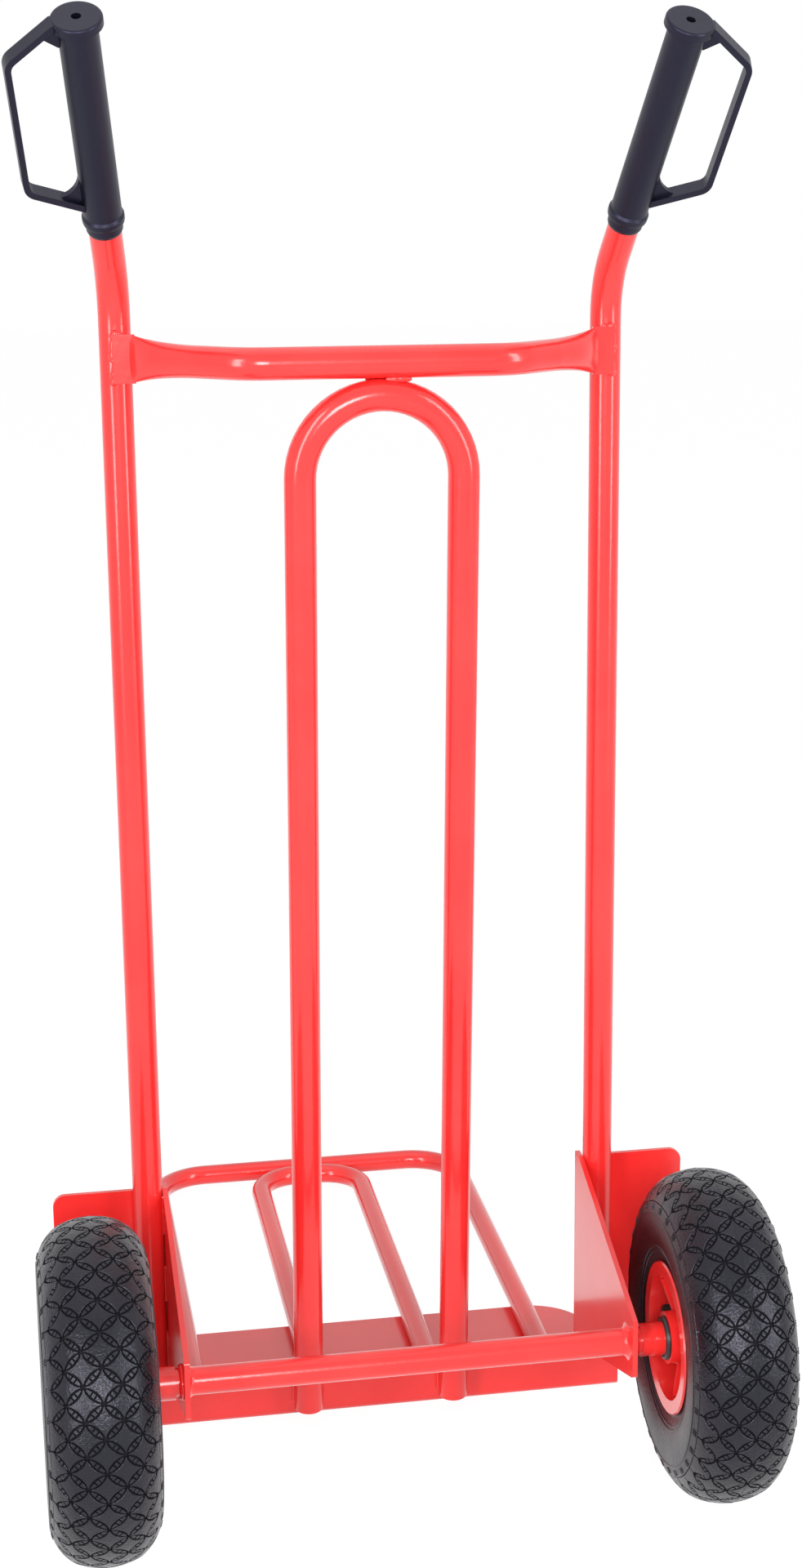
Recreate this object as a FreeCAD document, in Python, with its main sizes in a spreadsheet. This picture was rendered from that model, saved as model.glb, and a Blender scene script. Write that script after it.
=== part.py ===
import FreeCAD, Part
import math
import os
import re
import Sketcher

# Hand truck: a welded tube frame on two pneumatic wheels, with a folding toe extension.
# +X is the right side seen from behind, +Y points forward over the toe plate, +Z is up.
# The origin is the middle of the toe plate's underside, on the floor. Millimetres.

DIMENSIONS = {
    # frame tubes
    "tube_dia": 24,
    "tube_wall": 2,
    "upright_gap": 375,
    "upright_back": 92.5,
    "bend_height": 936,
    "bend_radius": 80,
    "handle_rake": 37.3,
    "handle_splay": 10.2,
    "handle_length": 226,
    # bowed crossbar with pressed ends
    "crossbar_height": 884.5,
    "crossbar_bow": 76,
    "crossbar_corner": 98,
    "crossbar_bend": 45,
    "blade_root": 177,
    "blade_tip": 190.5,
    "blade_height": 36,
    "blade_thick": 4.4,
    "press_length": 55,
    "out_of_round": 0.02,
    # centre loop
    "loop_gap": 123,
    "loop_lean": 4.84,
    "loop_foot": 11.5,
    "loop_back": 4,
    "loop_offset": 1.5,
    # toe plate
    "plate_thick": 4,
    "plate_width": 418,
    "plate_depth": 160,
    "plate_corner": 53,
    "plate_fold": 6,
    "flange_height": 52,
    "flange_ahead": 4.3,
    "edge_round": 4,
    # axle brackets, axle and what sits on it
    "axle_back": 170,
    "axle_height": 130,
    "axle_dia": 16,
    "axle_length": 556,
    "gusset_inside": 171.5,
    "gusset_thick": 4,
    "gusset_top": 217,
    "gusset_low": 44.8,
    "gusset_tail": 20,
    "gusset_tail_top": 25,
    "gusset_tail_low": 22,
    "cross_tube_dia": 21.3,
    "cross_tube_bore": 16.3,
    "spacer_dia": 26,
    "spacer_step": 6,
    "washer_dia": 30,
    "washer_thick": 2.5,
    "pin_dia": 3.4,
    "pin_place": 272.5,
    "pin_wire": 2.6,
    "pin_eye": 4,
    "pin_neck": 5,
    "pin_tail": 9,
    "weld_leg": 4.5,
    # wheel guards
    "guard_inside": 181,
    "guard_outside": 263.5,
    "guard_top": 212,
    "guard_low": 78,
    "guard_corner": 10,
    "guard_foot_corner": 30,
    # moulded grips
    "grip_start": 54,
    "grip_dia": 28,
    "collar_dia": 30.8,
    "cap_dia": 36,
    "cap_top": 234.2,
    "dimple_dia": 7,
    "bow_turn": 16,
    "bow_reach": 53.4,
    "bow_top": 209,
    "bow_low": 99.4,
    "bow_root_top": 233.4,
    "bow_root_low": 76.6,
    "bow_thick": 4.4,
    "bow_width": 12,
    "bow_round": 12,
    # folding toe extension
    "bar_dia": 19,
    "bar_wall": 2,
    "hinge_ahead": 24.8,
    "hinge_height": 13.9,
    "hinge_rod_dia": 12,
    "running_gap": 0.05,
    "side_gap": 0.3,
    "ear_inside": 166,
    "ear_thick": 4,
    "ear_top": 49,
    "outer_gap": 305,
    "outer_reach": 480.5,
    "outer_corner": 50,
    "inner_gap": 102,
    "inner_corner": 40,
    # wheels
    "track": 478.8,
    "tyre_radius": 130,
    "tyre_half": 41.5,
    "rim_half": 36.5,
    "rim_lip": 60,
    "rim_seat": 51,
    "rim_well": 47.5,
    "rim_skin": 2.6,
    "hub_inner": 36.4,
    "hub_outer": 28,
    "hub_radius": 21,
    "web_thick": 5,
    "rib_thick": 4,
    "rib_count": 5,
    "rib_angle": 45,
    "bearing_dia": 35,
    "bearing_width": 11,
    "valve_radius": 38,
    "valve_angle": 8,
    "valve_dia": 6,
    "valve_reach": 6,
    "cap_width": 8.4,
    "cap_length": 11,
}

doc = FreeCAD.newDocument("hand_truck")
sheet = doc.addObject("Spreadsheet::Sheet", "Dims")
for row, (alias, value) in enumerate(DIMENSIONS.items(), start=1):
    sheet.set(f"A{row}", alias)
    sheet.set(f"B{row}", str(value))
    sheet.setAlias(f"B{row}", alias)
doc.recompute()

parts = []


def linked(expression):
    """The expression with each dimension's name led to its cell."""

    def lead(match):
        word = match.group(0)
        return "Dims." + word if word in DIMENSIONS else word

    return re.sub(r"[a-z_]+", lead, expression)


def number(expression):
    """What the expression is worth now, in millimetres or degrees."""
    value = sheet.evalExpression(linked(expression))
    return float(getattr(value, "Value", value))


def new_body(label):
    """An empty body that becomes one file."""
    body = doc.addObject("PartDesign::Body", label)
    body.Label = label
    parts.append(body)
    return body


def place(thing, x, y, z, rotation=None):
    """Puts a sub-part in the truck's frame, its position bound to the sheet."""
    if rotation:
        thing.Placement = FreeCAD.Placement(FreeCAD.Vector(), rotation)
    for name, expression in (("x", x), ("y", y), ("z", z)):
        thing.setExpression("Placement.Base." + name, linked(expression))


def turn(axis, angle):
    """A rotation about a named axis, in degrees."""
    directions = {"x": (1, 0, 0), "y": (0, 1, 0), "z": (0, 0, 1)}
    return FreeCAD.Rotation(FreeCAD.Vector(*directions[axis]), angle)


def sketch_on(body, role, name, offset="0"):
    """A sketch on one of the body's own origin planes, moved along its normal."""
    plane = next(item for item in body.Origin.OriginFeatures if item.Role == role)
    sketch = body.newObject("Sketcher::SketchObject", name)
    sketch.AttachmentSupport = [(plane, "")]
    sketch.MapMode = "FlatFace"
    sketch.setExpression("AttachmentOffset.Base.z", linked(offset))
    return sketch


def pin(sketch, geometry, vertex, x, y):
    """Holds a sketch point at a place that the sheet drives."""
    for kind, expression in (("DistanceX", x), ("DistanceY", y)):
        if expression is None:
            continue
        fixed = Sketcher.Constraint(kind, -1, 1, geometry, vertex, number(expression))
        index = sketch.addConstraint(fixed)
        sketch.setExpression(f"Constraints[{index}]", linked(expression))


def circle(sketch, radius, x="0", y="0"):
    """A circle whose radius and centre the sheet drives."""
    centre = FreeCAD.Vector(number(x), number(y), 0)
    normal = FreeCAD.Vector(0, 0, 1)
    edge = sketch.addGeometry(Part.Circle(centre, normal, number(radius)), False)
    pin(sketch, edge, 3, x, y)
    index = sketch.addConstraint(Sketcher.Constraint("Radius", edge, number(radius)))
    sketch.setExpression(f"Constraints[{index}]", linked(radius))


def arc_between(start, end, radius, side):
    """The short arc between two points: side is 1 for a centre left of the way, -1 for right."""
    chord = end - start
    rise = math.sqrt(max(radius**2 - (chord.Length / 2) ** 2, 0))
    left = FreeCAD.Vector(-chord.y, chord.x, 0).normalize()
    centre = (start + end) * 0.5 + left * (rise * side)
    ends = (start, end) if side > 0 else (end, start)
    angles = [math.atan2(point.y - centre.y, point.x - centre.x) for point in ends]
    round_edge = Part.Circle(centre, FreeCAD.Vector(0, 0, 1), radius)
    return Part.ArcOfCircle(round_edge, *angles)


def trace(sketch, start, steps, closed=True):
    """Draws from point to point. A step is (x, y), or (x, y, radius, side) for an arc."""
    corners = [start] + list(steps)
    if closed:
        corners.append(start)
    edges = []
    for here, there in zip(corners, corners[1:]):
        begin = FreeCAD.Vector(number(here[0]), number(here[1]), 0)
        end = FreeCAD.Vector(number(there[0]), number(there[1]), 0)
        side = there[3] if len(there) > 2 else 1
        if len(there) > 2:
            shape = arc_between(begin, end, number(there[2]), side)
        else:
            shape = Part.LineSegment(begin, end)
        edge = sketch.addGeometry(shape, False)
        first, last = (1, 2) if side > 0 else (2, 1)
        pin(sketch, edge, first, here[0], here[1])
        edges.append((edge, first, last))
        if len(there) > 2:
            radius = Sketcher.Constraint("Radius", edge, number(there[2]))
            index = sketch.addConstraint(radius)
            sketch.setExpression(f"Constraints[{index}]", linked(there[2]))
    pairs = list(zip(edges, edges[1:] + edges[:1] if closed else edges[1:]))
    for (edge, _, last), (following, first, _) in pairs:
        sketch.addConstraint(Sketcher.Constraint("Coincident", edge, last, following, first))
    if not closed:
        edge, _, last = edges[-1]
        pin(sketch, edge, last, corners[-1][0], corners[-1][1])


def pad(body, sketch, length, both_ways=False, name="Pad"):
    """Pads a sketch along its normal."""
    feature = body.newObject("PartDesign::Pad", name)
    feature.Profile = sketch
    feature.setExpression("Length", linked(length))
    feature.Midplane = both_ways
    return feature


def revolve(body, sketch, axis, name="Revolution"):
    """Turns a sketch all the way round one of its own axes."""
    feature = body.newObject("PartDesign::Revolution", name)
    feature.Profile = sketch
    feature.ReferenceAxis = (sketch, [axis])
    feature.Angle = 360
    return feature


def pipe(body, profile, path, name="Pipe"):
    """Sweeps a section along a path."""
    feature = body.newObject("PartDesign::AdditivePipe", name)
    feature.Profile = profile
    feature.Spine = path
    return feature


def cut_through(body, sketch, name="Pocket"):
    """Cuts a sketch right through the body, both ways."""
    doc.recompute()
    before = body.Shape.Volume
    feature = body.newObject("PartDesign::Pocket", name)
    feature.Profile = sketch
    feature.Type = 1
    feature.Midplane = True
    doc.recompute()
    if body.Shape.Volume >= before:
        raise RuntimeError(f"{body.Label}: {name} cuts nothing")
    return feature


def edges_where(body, wanted):
    """Names of the body's edges for which the test holds."""
    doc.recompute()
    return [f"Edge{i}" for i, edge in enumerate(body.Shape.Edges, start=1) if wanted(edge)]


def near(value, target):
    """True where two sizes are the same."""
    return abs(value - target) < 0.01


def lies_at(edge, **places):
    """True where both ends of a straight edge have the given local coordinates."""
    if edge.Curve.TypeId != "Part::GeomLine":
        return False
    ends = [vertex.Point for vertex in edge.Vertexes]
    return all(near(getattr(end, name), place_) for end in ends for name, place_ in places.items())


def round_edges(body, radius, wanted, name="Fillet"):
    """Rounds the edges for which the test holds."""
    names = edges_where(body, wanted)
    if not names:
        raise RuntimeError(f"{body.Label}: {name} finds no edge")
    before = body.Tip
    feature = body.newObject("PartDesign::Fillet", name)
    feature.Base = (before, names)
    feature.setExpression("Radius", linked(radius))
    return feature


def tube_section(sketch, outer, wall, x="0", y="0"):
    """The ring that a round tube is made of."""
    circle(sketch, outer, x, y)
    circle(sketch, f"{outer} - {wall}", x, y)


SIDES = (("left", -1), ("right", 1))


# ---- uprights: straight tubes, bent back and splayed out above the crossbar ----

def upright(name, side):
    body = new_body(f"{name}_upright")
    section = sketch_on(body, "XY_Plane", "Section", "flange_height")
    tube_section(section, "tube_dia / 2", "tube_wall")
    path = sketch_on(body, "YZ_Plane", "Path")
    bend_run = "bend_radius * tan(handle_rake / 2)"
    arc_end = (
        f"-{bend_run} * sin(handle_rake)",
        f"bend_height + {bend_run} * cos(handle_rake)",
        "bend_radius",
        1,
    )
    tube_end = (
        "-handle_length * sin(handle_rake)",
        "bend_height + handle_length * cos(handle_rake)",
    )
    bend_start = ("0", f"bend_height - {bend_run}")
    trace(path, ("0", "flange_height"), [bend_start, arc_end, tube_end], closed=False)
    pipe(body, section, path)
    splay = turn("z", side * DIMENSIONS["handle_splay"])
    place(body, f"{side} * upright_gap / 2", "-upright_back", "0", splay)


for name, side in SIDES:
    upright(name, side)


# ---- moulded grips: a sleeve with a collar, an end cap and a knuckle bow ----

def grip(name, side):
    body = new_body(f"{name}_grip")
    sleeve = sketch_on(body, "XZ_Plane", "Sleeve")
    tube = "tube_dia / 2"
    hand = "grip_dia / 2"
    collar = "collar_dia / 2"
    neck = "(collar_dia / 2 - 2)"
    cap = "cap_dia / 2"
    steps = [
        (f"{neck} - 0.8", "grip_start"),
        (neck, "grip_start + 2"),
        (neck, "grip_start + 7.5"),
        (f"{collar} - 0.4", "grip_start + 8.3"),
        (collar, "grip_start + 10"),
        (collar, "grip_start + 13.5"),
        (hand, "grip_start + 15.5"),
        (hand, "cap_top - 9"),
        (cap, "cap_top - 6.5"),
        (cap, "cap_top - 2"),
        (f"{cap} - 2", "cap_top", "2", 1),
        ("dimple_dia / 2", "cap_top"),
        ("dimple_dia / 2", "cap_top - 5"),
        ("0", "cap_top - 5"),
        ("0", "handle_length"),
        (tube, "handle_length"),
    ]
    trace(sleeve, (tube, "grip_start"), steps)
    revolve(body, sleeve, "V_Axis", "SleeveTurn")

    bow = sketch_on(body, "XZ_Plane", "Bow")
    outside = [
        (cap, "bow_root_top"),
        ("bow_reach", "bow_top"),
        ("bow_reach", "bow_low"),
        ("13", "bow_root_low"),
        ("13", "bow_root_low + bow_thick * 1.3"),
        ("bow_reach - bow_thick", "bow_low + bow_thick * 0.7"),
        ("bow_reach - bow_thick", "bow_top - bow_thick * 0.6"),
        ("13", "bow_root_top - bow_thick * 0.5"),
    ]
    trace(bow, ("13", "bow_root_top"), outside)
    pad(body, bow, "bow_width", both_ways=True, name="BowPad")
    reach = number("bow_reach")
    round_edges(body, "bow_round", lambda edge: corner_line(edge, reach), "BowCorners")
    inner = reach - number("bow_thick")
    round_edges(
        body, "bow_round - bow_thick", lambda edge: corner_line(edge, inner), "BowInnerCorners"
    )

    webs = sketch_on(body, "XZ_Plane", "Webs")
    low_web = [
        ("31", "bow_root_low + 14"),
        ("14", "bow_root_low + 33", "16", -1),
        ("13", "bow_root_low + 33"),
    ]
    trace(webs, ("13", "bow_root_low + 2"), low_web)
    top_web = [("13", "bow_root_top - 20"), ("15", "bow_root_top - 20"), ("27", "bow_root_top - 10")]
    trace(webs, ("13", "bow_root_top - 3"), top_web)
    pad(body, webs, "bow_thick", both_ways=True, name="WebPad")

    rake = turn("z", side * DIMENSIONS["handle_splay"]).multiply(turn("x", DIMENSIONS["handle_rake"]))
    towards_user = -DIMENSIONS["bow_turn"] if side > 0 else 180 + DIMENSIONS["bow_turn"]
    stance = rake.multiply(turn("z", towards_user))
    place(body, f"{side} * upright_gap / 2", "-upright_back", "bend_height", stance)


def corner_line(edge, reach):
    """True for an edge across the bow at one of its outer corners."""
    if not lies_at(edge, x=reach):
        return False
    ends = [vertex.Point for vertex in edge.Vertexes]
    return near(ends[0].z, ends[1].z)


for name, side in SIDES:
    grip(name, side)


# ---- top crossbar: a tube bowed backward, pressed flat at both ends ----

def crossbar():
    body = new_body("top_crossbar")
    radius = "tube_dia / 2"
    blade_back = f"({radius} + blade_thick / 2)"
    run = number(f"crossbar_bow - {blade_back}")
    across = number("blade_root - crossbar_corner")
    slant = math.degrees(math.atan2(run, across))
    bend = f"crossbar_bend * tan({slant} / 2)"

    def on_slant(sign, along):
        x = f"{sign} * (blade_root - {along} * cos({slant}))"
        return x, f"-{blade_back} - {along} * sin({slant})"

    def section_across(name, sign, along):
        section = sketch_on(body, "YZ_Plane", name)
        section.AttachmentOffset = FreeCAD.Placement(FreeCAD.Vector(), turn("y", sign * slant))
        x, y = on_slant(sign, along)
        section.setExpression("AttachmentOffset.Base.z", linked(x))
        section.setExpression("AttachmentOffset.Base.x", linked(y))
        return section

    path = sketch_on(body, "XY_Plane", "Path")
    right_corner = (f"crossbar_corner + {bend} * cos({slant})", f"-crossbar_bow + {bend} * sin({slant})")
    left_corner = (f"-crossbar_corner - {bend} * cos({slant})", right_corner[1])
    steps = [
        right_corner,
        (f"crossbar_corner - {bend}", "-crossbar_bow", "crossbar_bend", -1),
        (f"-crossbar_corner + {bend}", "-crossbar_bow"),
        left_corner + ("crossbar_bend", -1),
        on_slant(-1, "press_length"),
    ]
    trace(path, on_slant(1, "press_length"), steps, closed=False)
    start = section_across("Section", 1, "press_length")
    oval(start, f"{radius} + out_of_round", radius)
    pipe(body, start, path, "Tube")

    # from the flat blade to the round tube: how far along, how tall still, how thick already
    stations = ((0, 1, 0), (0.18, 0.62, 0.43), (0.4, 0.32, 0.76), (0.66, 0.11, 0.92), (1, 0, 1))
    tall = f"(blade_height / 2 - {radius} - out_of_round)"
    thick = f"({radius} - blade_thick / 2)"
    for side_name, sign in SIDES:
        sections = []
        for index, (along, tall_share, thick_share) in enumerate(stations):
            section = section_across(f"{side_name}_press_{index}", sign, f"press_length * {along}")
            half_height = f"{radius} + out_of_round + {tall} * {tall_share}"
            oval(section, half_height, f"blade_thick / 2 + {thick} * {thick_share}")
            sections.append(section)
        loft = body.newObject("PartDesign::AdditiveLoft", f"{side_name}_pressed_end")
        loft.Profile = sections[0]
        loft.Sections = sections[1:]
        loft.Ruled = False

    blades = sketch_on(body, "XY_Plane", "Blades")
    for sign in (1, -1):
        back = f"-{radius} - blade_thick"
        corners = [
            (f"{sign} * blade_tip", back),
            (f"{sign} * (blade_root - 3)", back),
            (f"{sign} * (blade_root - 3)", f"-{radius}"),
        ]
        trace(blades, (f"{sign} * blade_tip", f"-{radius}"), corners)
    pad(body, blades, "blade_height", both_ways=True, name="BladePad")
    place(body, "0", "-upright_back", "crossbar_height")


def oval(sketch, half_height, half_thick):
    """An upright ellipse about the sketch's origin."""
    tall = FreeCAD.Vector(0, number(half_height), 0)
    wide = FreeCAD.Vector(number(half_thick), 0, 0)
    edge = sketch.addGeometry(Part.Ellipse(tall, wide, FreeCAD.Vector()), False)
    sketch.exposeInternalGeometry(edge)
    sketch.addConstraint(Sketcher.Constraint("Coincident", edge, 3, -1, 1))
    sketch.addConstraint(Sketcher.Constraint("Vertical", edge + 1))
    for line, half in ((edge + 1, half_height), (edge + 2, half_thick)):
        length = f"2 * ({half})"
        index = sketch.addConstraint(Sketcher.Constraint("Distance", line, number(length)))
        sketch.setExpression(f"Constraints[{index}]", linked(length))


crossbar()


# ---- centre loop: an inverted U that leans back from the flange to the crossbar ----

def centre_loop():
    body = new_body("centre_loop")
    half = "loop_gap / 2"
    reach = "(crossbar_height - tube_dia / 2 - running_gap - loop_foot) / cos(loop_lean)"
    spring = f"{reach} - tube_dia / 2 / cos(loop_lean) - {half}"
    section = sketch_on(body, "XY_Plane", "Section")
    tube_section(section, "tube_dia / 2", "tube_wall", f"-{half}", "0")
    path = sketch_on(body, "XZ_Plane", "Path")
    quarter = (f"{half}", "-1")
    steps = [
        (f"-{half}", spring),
        ("0", f"{spring} + {half}", quarter[0], -1),
        (half, spring, quarter[0], -1),
        (half, "0"),
    ]
    trace(path, (f"-{half}", "0"), steps, closed=False)
    pipe(body, section, path)

    def leaning(ahead, above):
        """A place given from the foot in the truck's own directions, in the loop's plane."""
        along = f"({ahead}) * cos(loop_lean) + ({above}) * sin(loop_lean)"
        return along, f"({above}) * cos(loop_lean) - ({ahead}) * sin(loop_lean)"

    notch = sketch_on(body, "YZ_Plane", "Notch")
    behind = "flange_ahead + loop_back"
    ledge = "flange_height - loop_foot"
    corners = [leaning("tube_dia", "-tube_dia"), leaning("tube_dia", ledge), leaning(behind, ledge)]
    trace(notch, leaning(behind, "-tube_dia"), corners)
    cut_through(body, notch, "FootNotch")
    place(body, "loop_offset", "-upright_back - loop_back", "loop_foot", turn("x", DIMENSIONS["loop_lean"]))


centre_loop()


# ---- toe plate: one folded sheet with a rear flange ----

def toe_plate():
    body = new_body("toe_plate")
    section = sketch_on(body, "YZ_Plane", "Section")
    steps = [
        ("plate_depth", "0"),
        ("plate_depth", "plate_thick"),
        ("plate_thick", "plate_thick"),
        ("plate_thick", "flange_height"),
        ("0", "flange_height"),
    ]
    trace(section, ("0", "0"), steps)
    pad(body, section, "plate_width", both_ways=True)
    depth = number("plate_depth")
    width = number("plate_width") / 2
    thick = number("plate_thick")
    top = number("flange_height")
    round_edges(body, "plate_fold", lambda edge: lies_at(edge, y=0, z=0), "FoldOutside")
    round_edges(
        body, "plate_fold - plate_thick", lambda edge: lies_at(edge, y=thick, z=thick), "FoldInside"
    )
    round_edges(
        body,
        "plate_corner",
        lambda edge: any(lies_at(edge, x=side * width, y=depth) for _, side in SIDES),
        "FrontCorners",
    )
    round_edges(
        body,
        "edge_round",
        lambda edge: any(lies_at(edge, x=side * width, z=top) for _, side in SIDES),
        "FlangeCorners",
    )
    place(body, "0", "-upright_back + flange_ahead", "0")


toe_plate()


# ---- gussets: flat plates inside the uprights that carry the axle ----

def gusset(name, side):
    body = new_body(f"{name}_gusset")
    outline = sketch_on(body, "YZ_Plane", "Outline")
    front = "tube_dia / 2"
    tail = "-axle_back - gusset_tail"
    steps = [
        ("flange_ahead", "flange_height"),
        (front, "flange_height"),
        (front, "gusset_top"),
        ("0", "gusset_top"),
        (tail, "axle_height + gusset_tail_top"),
        (tail, "axle_height - gusset_tail_low"),
    ]
    trace(outline, ("flange_ahead", "gusset_low"), steps)
    circle(outline, "axle_dia / 2", "-axle_back", "axle_height")
    pad(body, outline, "gusset_thick")
    tail_y = number(tail)
    round_edges(body, "edge_round", lambda edge: across_plate(edge, tail_y), "TailCorners")
    near_side = "gusset_inside" if side > 0 else "-gusset_inside - gusset_thick"
    place(body, near_side, "-upright_back", "0")


def across_plate(edge, y):
    """True for an edge through the plate's thickness at the given depth."""
    if not lies_at(edge, y=y):
        return False
    ends = [vertex.Point for vertex in edge.Vertexes]
    return near(ends[0].z, ends[1].z)


for name, side in SIDES:
    gusset(name, side)


# ---- cross tube, spacers and axle ----

def cross_tube():
    body = new_body("cross_tube")
    section = sketch_on(body, "YZ_Plane", "Section")
    circle(section, "cross_tube_dia / 2")
    circle(section, "cross_tube_bore / 2")
    pad(body, section, "2 * gusset_inside", both_ways=True)
    place(body, "0", "-upright_back - axle_back", "axle_height")


def spacer(name, side):
    """A thick sleeve with a thinner neck that is welded to the gusset."""
    body = new_body(f"{name}_spacer")
    section = sketch_on(body, "XZ_Plane", "Section")
    inner = "gusset_inside + gusset_thick"
    outer = "track / 2 - hub_inner"
    neck = "cross_tube_dia / 2"
    steps = [
        (inner, neck),
        (f"{inner} + spacer_step", neck),
        (f"{inner} + spacer_step", "spacer_dia / 2"),
        (outer, "spacer_dia / 2"),
        (outer, "axle_dia / 2"),
    ]
    trace(section, (inner, "axle_dia / 2"), steps)
    revolve(body, section, "H_Axis")
    stance = turn("z", 0 if side > 0 else 180)
    place(body, "0", "-upright_back - axle_back", "axle_height", stance)


def axle_rod():
    body = new_body("axle_rod")
    section = sketch_on(body, "YZ_Plane", "Section")
    circle(section, "axle_dia / 2")
    pad(body, section, "axle_length", both_ways=True)
    holes = sketch_on(body, "XY_Plane", "PinHoles")
    for _, side in SIDES:
        circle(holes, "pin_dia / 2 + running_gap", f"{side} * pin_place", "0")
    cut_through(body, holes)
    ends = number("axle_length") / 2
    names = edges_where(body, lambda edge: near(abs(edge.CenterOfMass.x), ends))
    before = body.Tip
    chamfer = body.newObject("PartDesign::Chamfer", "EndChamfers")
    chamfer.Base = (before, names)
    chamfer.Size = 1
    place(body, "0", "-upright_back - axle_back", "axle_height")


cross_tube()
for name, side in SIDES:
    spacer(name, side)
axle_rod()


# ---- washers, split pins and weld beads: groups of like solids ----

def group(label, pieces):
    """Several separate solids in one sub-part."""
    compound = doc.addObject("Part::Compound", label)
    compound.Label = label
    compound.Links = pieces
    parts.append(compound)


def along_x(kind, name, x, sizes, flip=False):
    """A primitive that stands along the axle, starting at x."""
    thing = doc.addObject(kind, name)
    for size, expression in sizes.items():
        thing.setExpression(size, linked(expression))
    angle = -90 if flip else 90
    place(thing, x, "-upright_back - axle_back", "axle_height", turn("y", angle))
    return thing


def washers():
    pieces = []
    for name, side in SIDES:
        inner = "track / 2 + hub_outer + side_gap"
        start = inner if side > 0 else f"-({inner})"
        flip = side < 0
        disc_sizes = {"Radius": "washer_dia / 2", "Height": "washer_thick"}
        hole_sizes = {"Radius": "axle_dia / 2", "Height": "washer_thick"}
        disc = along_x("Part::Cylinder", f"washer_disc_{name}", start, disc_sizes, flip)
        hole = along_x("Part::Cylinder", f"washer_hole_{name}", start, hole_sizes, flip)
        ring = doc.addObject("Part::Cut", f"washer_{name}")
        ring.Base = disc
        ring.Tool = hole
        pieces.append(ring)
    group("axle_washers", pieces)


def split_pins():
    pieces = []
    for name, side in SIDES:
        shank = doc.addObject("Part::Cylinder", f"pin_shank_{name}")
        shank.setExpression("Radius", linked("pin_dia / 2"))
        shank.setExpression("Height", linked("axle_dia + pin_neck + pin_tail"))
        tip = "axle_height - axle_dia / 2 - pin_tail"
        place(shank, f"{side} * pin_place", "-upright_back - axle_back", tip)
        height = "axle_height + axle_dia / 2 + pin_neck + pin_eye"
        rounds = []
        for role, radius in (("ring", "pin_eye + pin_wire / 2"), ("hole", "pin_eye - pin_wire / 2")):
            disc = doc.addObject("Part::Cylinder", f"pin_{role}_{name}")
            disc.setExpression("Radius", linked(radius))
            disc.setExpression("Height", linked("pin_wire"))
            start = f"{side} * pin_place - pin_wire / 2"
            place(disc, start, "-upright_back - axle_back", height, turn("y", 90))
            rounds.append(disc)
        eye = doc.addObject("Part::Cut", f"pin_eye_{name}")
        eye.Base, eye.Tool = rounds
        whole = doc.addObject("Part::Fuse", f"pin_{name}")
        whole.Base = shank
        whole.Tool = eye
        pieces.append(whole)
    group("axle_split_pins", pieces)


def fillet_ring(name, x, radius, towards):
    """A weld bead round a tube where it meets a flat face."""
    tube = f"{radius}"
    sizes = {"Radius1": f"{tube} + weld_leg", "Radius2": f"{tube} + 0.01", "Height": "weld_leg"}
    cone = along_x("Part::Cone", f"bead_cone_{name}", x, sizes, towards < 0)
    bore_sizes = {"Radius": tube, "Height": "weld_leg"}
    bore = along_x("Part::Cylinder", f"bead_bore_{name}", x, bore_sizes, towards < 0)
    ring = doc.addObject("Part::Cut", f"bead_{name}")
    ring.Base = cone
    ring.Tool = bore
    return ring


def weld_beads():
    pieces = []
    tube = "cross_tube_dia / 2"
    for name, side in SIDES:
        pieces.append(fillet_ring(f"inside_{name}", f"{side} * gusset_inside", tube, -side))
        outside = f"{side} * (gusset_inside + gusset_thick)"
        pieces.append(fillet_ring(f"outside_{name}", outside, tube, side))
    group("weld_beads", pieces)


washers()
split_pins()
weld_beads()


# ---- wheel guards: plates in front of the tyres ----

def wheel_guard(name, side):
    body = new_body(f"{name}_wheel_guard")
    outline = sketch_on(body, "XZ_Plane", "Outline")
    inside = f"{side} * guard_inside"
    outside = f"{side} * guard_outside"
    corners = [(outside, "guard_low"), (outside, "guard_top"), (inside, "guard_top")]
    trace(outline, (inside, "guard_low"), corners)
    sheet_pad = pad(body, outline, "plate_thick")
    sheet_pad.Reversed = True
    x = side * number("guard_outside")
    top = number("guard_top")
    low = number("guard_low")
    round_edges(body, "guard_corner", lambda edge: lies_at(edge, x=x, z=top), "TopCorner")
    round_edges(body, "guard_foot_corner", lambda edge: lies_at(edge, x=x, z=low), "LowCorner")
    place(body, "0", "-upright_back + tube_dia / 2", "0")


for name, side in SIDES:
    wheel_guard(name, side)


# ---- hinge of the toe extension: two ears, a rod and its clip ----

def hinge_ear(name, side):
    body = new_body(f"{name}_hinge_ear")
    outline = sketch_on(body, "YZ_Plane", "Outline")
    back = "flange_ahead + plate_thick"
    front = "hinge_ahead + 16"
    steps = [
        (front, "plate_thick"),
        (front, "hinge_height + 6"),
        ("hinge_ahead - 8", "ear_top"),
        (back, "ear_top"),
        (back, "plate_fold"),
    ]
    trace(outline, ("flange_ahead + plate_fold", "plate_thick"), steps)
    circle(outline, "hinge_rod_dia / 2", "hinge_ahead", "hinge_height")
    pad(body, outline, "ear_thick")
    start = "ear_inside" if side > 0 else "-ear_inside - ear_thick"
    place(body, start, "-upright_back", "0")


def hinge_rod():
    """A plain rod with a flat head at its left end."""
    body = new_body("hinge_rod")
    section = sketch_on(body, "XZ_Plane", "Section")
    end = "(ear_inside + ear_thick)"
    rod = "hinge_rod_dia / 2"
    steps = [
        (f"-{end} - 4", f"{rod} + 2.5"),
        (f"-{end}", f"{rod} + 2.5"),
        (f"-{end}", rod),
        (f"{end} + 5", rod),
        (f"{end} + 6", f"{rod} - 1"),
        (f"{end} + 6", "0"),
    ]
    trace(section, (f"-{end} - 4", "0"), steps)
    revolve(body, section, "H_Axis")
    place(body, "0", "-upright_back + hinge_ahead", "hinge_height")


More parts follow.
